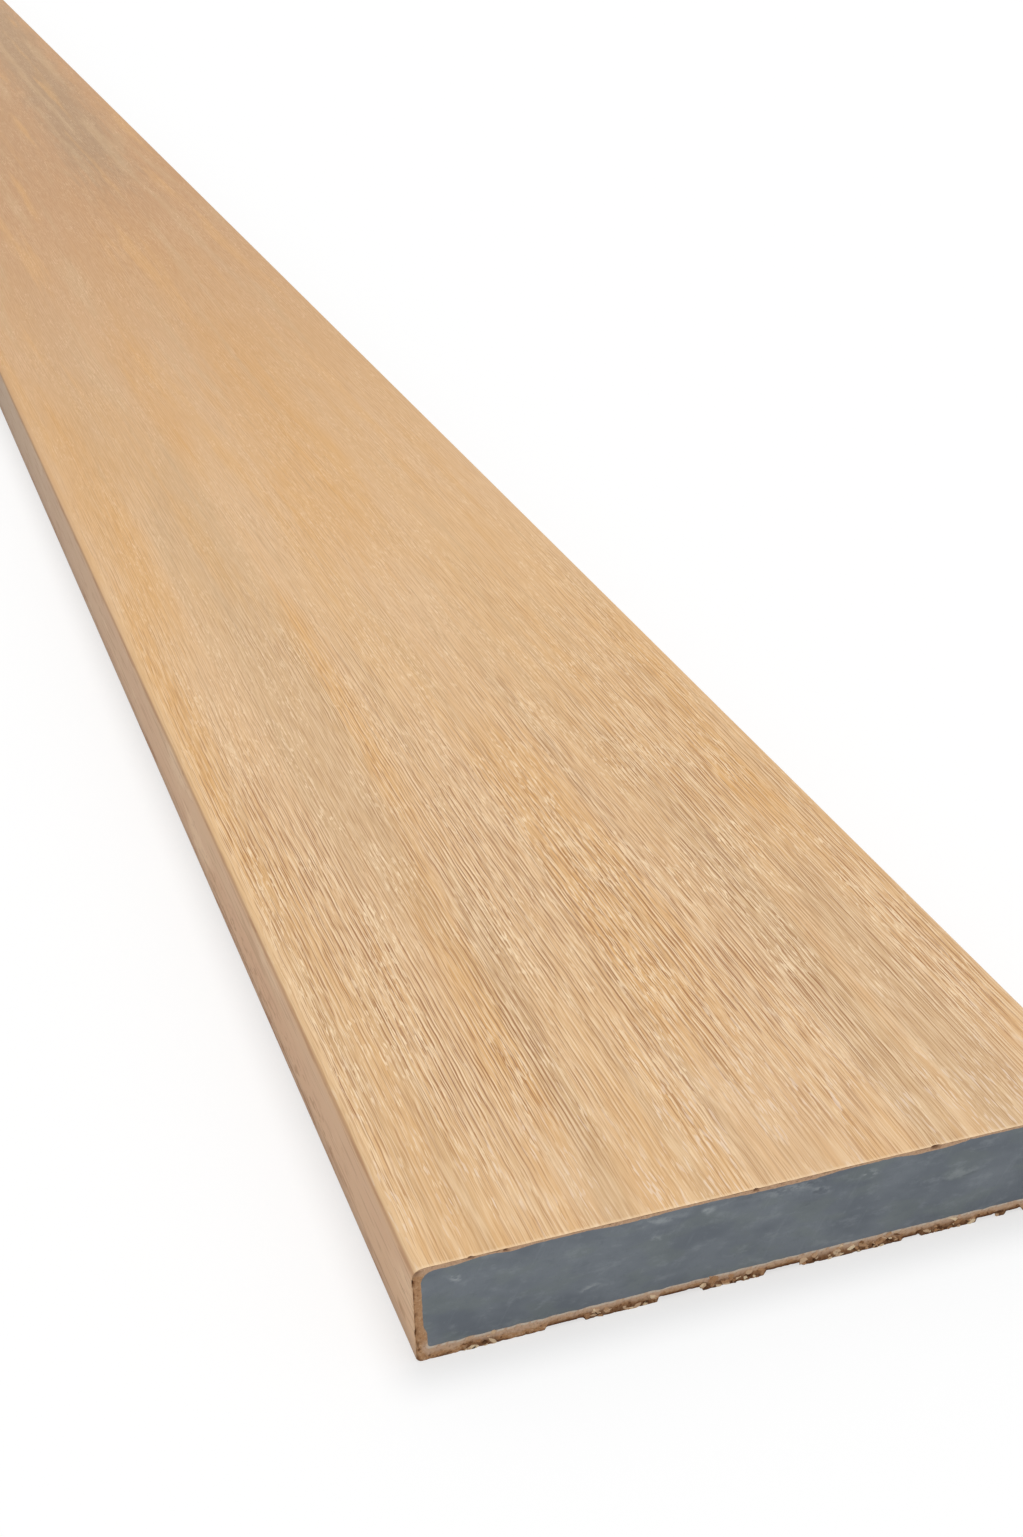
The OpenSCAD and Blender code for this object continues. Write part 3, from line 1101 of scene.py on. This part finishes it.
def crumb_tree():
    """Geometry nodes that scatter crumbs over the torn edge, by its torn mark, each with its own tint."""
    inputs = {"Geometry": "Geometry", "Largest": 0.0, "Lowest": 0.0, "Foremost": 0.0, "Seed": "Int"}
    inputs["Material"] = "Material"
    tree, source, target = new_group("Crumbs", "GeometryNodeTree", inputs, {"Geometry": "Geometry"})
    density = times(tree, read_mark(tree, "torn"), CRUMBS_PER_AREA)
    inputs = {"Mesh": source["Geometry"], "Density": density, "Seed": source["Seed"]}
    scatter = add_node(tree, "GeometryNodeDistributePointsOnFaces", inputs, distribute_method="RANDOM")
    crumb = add_node(tree, "GeometryNodeMeshIcoSphere", {"Radius": 0.5, "Subdivisions": 1}).outputs["Mesh"]
    size = times(tree, random_value(tree, 0.25, 1.0, Seed=source["Seed"]), source["Largest"])
    squash = random_value(tree, (0.5, 0.8, 0.45), (0.9, 1.7, 0.85))
    scale = add_node(tree, "ShaderNodeVectorMath", {0: squash, "Scale": size}, operation="SCALE").outputs[0]
    turn = random_value(tree, (-0.7, -0.5, -0.4), (0.7, 0.5, 0.4))
    inputs = {"Points": scatter.outputs["Points"], "Instance": crumb, "Rotation": turn, "Scale": scale}
    placed = add_node(tree, "GeometryNodeInstanceOnPoints", inputs).outputs[0]
    inputs = {"Geometry": placed, "Name": "tint", "Value": random_value(tree, 0.0, 1.0)}
    marked = add_node(tree, "GeometryNodeStoreNamedAttribute", inputs, data_type="FLOAT", domain="INSTANCE")
    real = add_node(tree, "GeometryNodeRealizeInstances", {0: marked.outputs[0]}).outputs[0]
    place = add_node(tree, "GeometryNodeInputPosition").outputs[0]
    lumps = times(tree, wander(tree, place, 2600, 2600), times(tree, source["Largest"], 0.9))
    uneven = push_out(tree, real, lumps)
    spot = add_node(tree, "ShaderNodeSeparateXYZ", {0: place}).outputs
    above = calc(tree, "MAXIMUM", spot[2], source["Lowest"])
    behind = calc(tree, "MINIMUM", spot[0], source["Foremost"])
    kept = add_node(tree, "ShaderNodeCombineXYZ", {0: behind, 1: spot[1], 2: above}).outputs[0]
    standing = add_node(tree, "GeometryNodeSetPosition", {"Geometry": uneven, "Position": kept}).outputs[0]
    inputs = {"Geometry": standing, "Material": source["Material"]}
    dressed = add_node(tree, "GeometryNodeSetMaterial", inputs).outputs[0]
    tree.links.new(dressed, target["Geometry"])
    return tree


def apply_tree(piece, tree, values):
    """Runs a geometry node tree on a piece, by its inputs' names, and keeps the result as a plain mesh."""
    modifier = piece.modifiers.new(tree.name, "NODES")
    modifier.node_group = tree
    for item in tree.interface.items_tree:
        if item.in_out == "INPUT" and item.name in values:
            modifier[item.identifier] = values[item.name]
    graph = bpy.context.evaluated_depsgraph_get()
    result = bpy.data.meshes.new_from_object(piece.evaluated_get(graph), depsgraph=graph)
    old = piece.data
    piece.modifiers.remove(modifier)
    result.name = old.name
    piece.data = result
    return piece


def spot_marks(sizes, yz, spots):
    """How much of the scuffs or smudges in spots the core's sawn end has at each of its points."""
    across, up = (yz[:, 0] + sizes.board_w / 2) / MM, yz[:, 1] / MM
    marks = np.zeros(len(yz))
    for place, height, wide, tall, tilt, strength in spots:
        along, off = across - place, up - height
        gap = np.hypot((along + off * tilt) / wide, (off - along * tilt) / tall)
        marks = np.maximum(marks, smooth_step(1.3 - gap) * strength)
    return marks


def core_end(section, face_steps, edge_steps):
    """Grid points over a core's sawn end, drawn between the four sides of its section."""
    half = ARC_STEPS // 2
    across, up = face_steps + ARC_STEPS, edge_steps + ARC_STEPS
    loop = np.roll(section, half, axis=0)
    top, right = loop[: across + 1], loop[across : across + up + 1]
    bottom = loop[across + up : 2 * across + up + 1][::-1]
    left = np.vstack([loop[2 * across + up :], loop[:1]])[::-1]
    u = np.linspace(0, 1, across + 1)[None, :, None]
    v = np.linspace(0, 1, up + 1)[:, None, None]
    sides = (1 - v) * top[None] + v * bottom[None] + (1 - u) * left[:, None] + u * right[:, None]
    ends = [(1 - u) * side[0] + u * side[-1] for side in (top, bottom)]
    return sides - (1 - v) * ends[0] - v * ends[1]


# Where each part of the core lies on its bake map: its two ends, and its sides as the places of their three
# rings along the map, with their lowest place and their height
CORE_MAP_NEAR = (0.002, 0.002, 0.998, 0.5)
CORE_MAP_FAR = (0.002, 0.506, 0.998, 0.8)
CORE_MAP_SIDES = (0.002, 0.1, 0.998)
CORE_MAP_LOW = 0.81
CORE_MAP_TALL = 0.18


def build_core(sizes):
    """The core as a closed mesh: a sawn end at each end, joined by its plain sides."""
    face, edge = STRETCHES[0][2][:2]
    points, faces, places, outlines = [], [], [], []
    marks = {"scuff": [], "shade": []}
    ends = ((SAWN_END - CORE_INSET, 1, CORE_MAP_NEAR), (FAR_END + CORE_INSET, 0, CORE_MAP_FAR))
    for x, uneven, box in ends:
        grid = core_end(seam_section(sizes, (face, edge, face), uneven), face, edge)
        rows, columns = grid.shape[:2]
        flat = grid.reshape(-1, 2)
        start = len(points)
        points += [(x, y, z) for y, z in flat]
        marks["scuff"] += list(spot_marks(sizes, flat, SCUFFS) * uneven)
        marks["shade"] += list(spot_marks(sizes, flat, SMUDGES) * uneven)
        chart = end_chart(sizes, box, flat)
        for i in range(rows - 1):
            for k in range(columns - 1):
                a = i * columns + k
                corners = (a, a + 1, a + columns + 1, a + columns)
                faces.append([start + c for c in corners])
                places += [chart[c] for c in corners]
        top = [start + k for k in range(columns - 1)]
        right = [start + i * columns + columns - 1 for i in range(rows - 1)]
        bottom = [start + (rows - 1) * columns + k for k in range(columns - 1, 0, -1)]
        left = [start + i * columns for i in range(rows - 1, 0, -1)]
        outlines.append(top + right + bottom + left)
        if uneven:
            loop = np.roll(seam_section(sizes, (face, edge, face), 0), ARC_STEPS // 2, axis=0)
            outlines.append([len(points) + k for k in range(len(loop))])
            points += [(SAWN_END - SEAM_RUN, y, z) for y, z in loop]
            marks["scuff"] += [0.0] * len(loop)
            marks["shade"] += [0.0] * len(loop)
    many = len(outlines[0])
    for near, next_one, left, right in zip(outlines, outlines[1:], CORE_MAP_SIDES, CORE_MAP_SIDES[1:]):
        for k in range(many):
            j = (k + 1) % many
            faces.append((near[k], near[j], next_one[j], next_one[k]))
            low, high = (CORE_MAP_LOW + CORE_MAP_TALL * turn / many for turn in (k, k + 1))
            places += [(left, low), (left, high), (right, high), (right, low)]
    data = bpy.data.meshes.new("core_sawn")
    data.from_pydata(points, [], faces)
    for name, values in marks.items():
        layer = data.attributes.new(name, "FLOAT", "POINT")
        layer.data.foreach_set("value", np.array(values, np.float32))
    add_bake_map(data, places)
    return data


class BOARD_OT_core(bpy.types.Operator):
    """Makes the grey core with its two sawn ends."""

    bl_idname = "board.core"
    bl_label = "Core"

    def execute(self, context):
        scene = context.scene
        data = build_core(scene.board_sizes)
        turn_outward(data)
        piece = place_piece(data, [core_material(scene.board_colours)])
        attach(piece, "root")
        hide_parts("core")
        return {"FINISHED"}


class BOARD_OT_capping(bpy.types.Operator):
    """Makes the wood-grain capping, embossed on its face and torn along its lower sawn edge."""

    bl_idname = "board.capping"
    bl_label = "Capping"

    def execute(self, context):
        sizes, colours = context.scene.board_sizes, context.scene.board_colours
        shell = build_skin(sizes)
        names = ("lines", "swell", "clear", "amber", "grey", "far", "rim", "stain", "ring", "pit", "torn")
        data = shell.mesh("capping_skin", names)
        turn_outward(data)
        piece = place_piece(data, [skin_material(sizes, colours), cut_material(colours)])
        tree = emboss_tree(grain_group("GeometryNodeTree"), line_group("GeometryNodeTree"))
        values = {
            "Line depth": sizes.line_depth,
            "Swell depth": sizes.swell_depth,
            "Line gap": sizes.line_gap,
        }
        apply_tree(piece, tree, values)
        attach(piece, "root")
        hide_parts("capping")
        return {"FINISHED"}


class BOARD_OT_crumbs(bpy.types.Operator):
    """Scatters the crumbs of capping that hang on the torn lower edge."""

    bl_idname = "board.crumbs"
    bl_label = "Torn crumbs"

    def execute(self, context):
        sizes, colours = context.scene.board_sizes, context.scene.board_colours
        capping = bpy.data.objects.get("capping_skin")
        if capping is None:
            raise RuntimeError("the crumbs sit on the capping, so make that first")
        data = capping.data.copy()
        data.name = "capping_crumbs"
        piece = bpy.data.objects.new(data.name, data)
        context.scene.collection.objects.link(piece)
        values = {
            "Largest": sizes.crumb_size,
            "Lowest": 0.03 * MM,
            "Foremost": SAWN_END + 0.12 * MM,
            "Seed": sizes.crumb_seed,
            "Material": crumb_material(colours),
        }
        apply_tree(piece, crumb_tree(), values)
        if not piece.data.polygons:
            raise RuntimeError("no crumb was made")
        piece.data.shade_flat()
        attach(piece, "root")
        return {"FINISHED"}


class BOARD_OT_stage(bpy.types.Operator):
    """Sets the white floor, the soft lights and the camera."""

    bl_idname = "board.stage"
    bl_label = "Stage"

    def execute(self, context):
        make_floor(context.scene.board_colours)
        make_lights(context.scene)
        make_camera(context.scene)
        return {"FINISHED"}


FLOOR_REACH = 9  # metres from the origin to each of the floor's sides
FLOOR_BOUNCE = 0.8  # share of the light that the floor throws back on the board
FLOOR_SHADED = 0.38  # grey of the floor that the camera sees, which the board's shadow darkens
FLOOR_GLOW = 0.64  # light that this floor adds of its own, so that it is nearly white where it is lit
SURROUND_LIGHT = 0.6
LAMP_POWER = 1.2
LAMP_WIDTH = 26  # degrees, for a soft shadow
LAMP_PLACE = (-0.32, 0.2, 1)


def seen_rays(tree):
    """1 for what the camera sees, also by mirrors and glass, and 0 for the light that falls on things."""
    path = add_node(tree, "ShaderNodeLightPath").outputs
    seen = calc(tree, "MAXIMUM", path["Is Camera Ray"], path["Is Glossy Ray"])
    return calc(tree, "MAXIMUM", seen, path["Is Transmission Ray"])


def make_floor(colours):
    """A wide white floor that keeps the board's shadow. The camera and mirrors see it nearly white."""
    data = bpy.data.meshes.new("floor")
    corners = [(x * FLOOR_REACH, y * FLOOR_REACH, 0) for x, y in ((-1, -1), (1, -1), (1, 1), (-1, 1))]
    data.from_pydata(corners, [], [(0, 1, 2, 3)])
    floor = bpy.data.objects.new("floor", data)
    bpy.context.scene.collection.objects.link(floor)
    material = bpy.data.materials.new("Floor")
    material.use_nodes = True
    tree = material.node_tree
    tree.nodes.clear()
    plain, shaded = [
        add_node(tree, "ShaderNodeBsdfDiffuse", {"Color": (grey, grey, grey, 1)}).outputs[0]
        for grey in (FLOOR_BOUNCE, FLOOR_SHADED)
    ]
    inputs = {"Color": (*colours.floor, 1), "Strength": FLOOR_GLOW}
    glow = add_node(tree, "ShaderNodeEmission", inputs).outputs[0]
    lit = add_node(tree, "ShaderNodeAddShader", {0: shaded, 1: glow}).outputs[0]
    either = add_node(tree, "ShaderNodeMixShader", {0: seen_rays(tree), 1: plain, 2: lit}).outputs[0]
    add_node(tree, "ShaderNodeOutputMaterial", {"Surface": either})
    data.materials.append(material)


def aim(thing, place, target):
    """Stands a lamp at place, looking at target."""
    thing.location = place
    thing.rotation_euler = (Vector(target) - Vector(place)).to_track_quat("-Z", "Y").to_euler()


def make_lights(scene):
    """An even white surround and one soft lamp high above the board, towards its far end and right edge."""
    world = bpy.data.worlds.new("Surround")
    scene.world = world
    world.use_nodes = True
    tree = world.node_tree
    tree.nodes.clear()
    dim, white = [
        add_node(tree, "ShaderNodeBackground", {"Color": (1, 1, 1, 1), "Strength": strength}).outputs[0]
        for strength in (SURROUND_LIGHT, 1.0)
    ]
    either = add_node(tree, "ShaderNodeMixShader", {0: seen_rays(tree), 1: dim, 2: white}).outputs[0]
    add_node(tree, "ShaderNodeOutputWorld", {"Surface": either})
    lamp = bpy.data.lights.new("key", "SUN")
    lamp.energy = LAMP_POWER
    lamp.angle = math.radians(LAMP_WIDTH)
    key = bpy.data.objects.new("key", lamp)
    scene.collection.objects.link(key)
    aim(key, LAMP_PLACE, (0, 0, 0))


# The camera's place in metres, its three directions and its focal length, fitted to the board's edges
CAMERA_PLACE = (1.38236, -0.14055, 0.26133)
CAMERA_FORWARD = (-0.84862914, 0.27588215, -0.45135088)
CAMERA_RIGHT = (0.32094033, 0.94677657, -0.02472701)
FOCAL_MM = 51.2255


def make_camera(scene):
    """The photograph's viewpoint: near the torn end, above the board and left of it."""
    data = bpy.data.cameras.new("camera")
    data.lens = FOCAL_MM
    data.sensor_width = 36
    data.clip_start = 0.01
    camera = bpy.data.objects.new("camera", data)
    scene.collection.objects.link(camera)
    back = -Vector(CAMERA_FORWARD).normalized()
    right = Vector(CAMERA_RIGHT).normalized()
    up = back.cross(right)
    turned = Matrix((right, up, back)).transposed().to_4x4()
    camera.matrix_world = Matrix.Translation(CAMERA_PLACE) @ turned
    scene.camera = camera
    scene.view_settings.view_transform = "Standard"


class BOARD_PT_panel(bpy.types.Panel):
    """Lists the board's pieces, sizes and colours."""

    bl_idname = "BOARD_PT_panel"
    bl_label = "Cladding Board"
    bl_space_type = "VIEW_3D"
    bl_region_type = "UI"
    bl_category = "Board"

    def draw(self, context):
        layout = self.layout
        for operator in (BOARD_OT_core, BOARD_OT_capping, BOARD_OT_crumbs, BOARD_OT_stage):
            layout.operator(operator.bl_idname)
        for group in (context.scene.board_sizes, context.scene.board_colours):
            for name in group.__annotations__:
                layout.prop(group, name)


CLASSES = (
    BoardSizes,
    BoardColours,
    BOARD_OT_core,
    BOARD_OT_capping,
    BOARD_OT_crumbs,
    BOARD_OT_stage,
    BOARD_PT_panel,
)


def register():
    for item in CLASSES:
        bpy.utils.register_class(item)
    bpy.types.Scene.board_sizes = PointerProperty(type=BoardSizes)
    bpy.types.Scene.board_colours = PointerProperty(type=BoardColours)


def unregister():
    del bpy.types.Scene.board_colours
    del bpy.types.Scene.board_sizes
    for item in reversed(CLASSES):
        bpy.utils.unregister_class(item)


def main():
    register()
    bpy.ops.board.core()
    bpy.ops.board.capping()
    bpy.ops.board.crumbs()
    bpy.ops.board.stage()


if __name__ == "__main__":
    main()
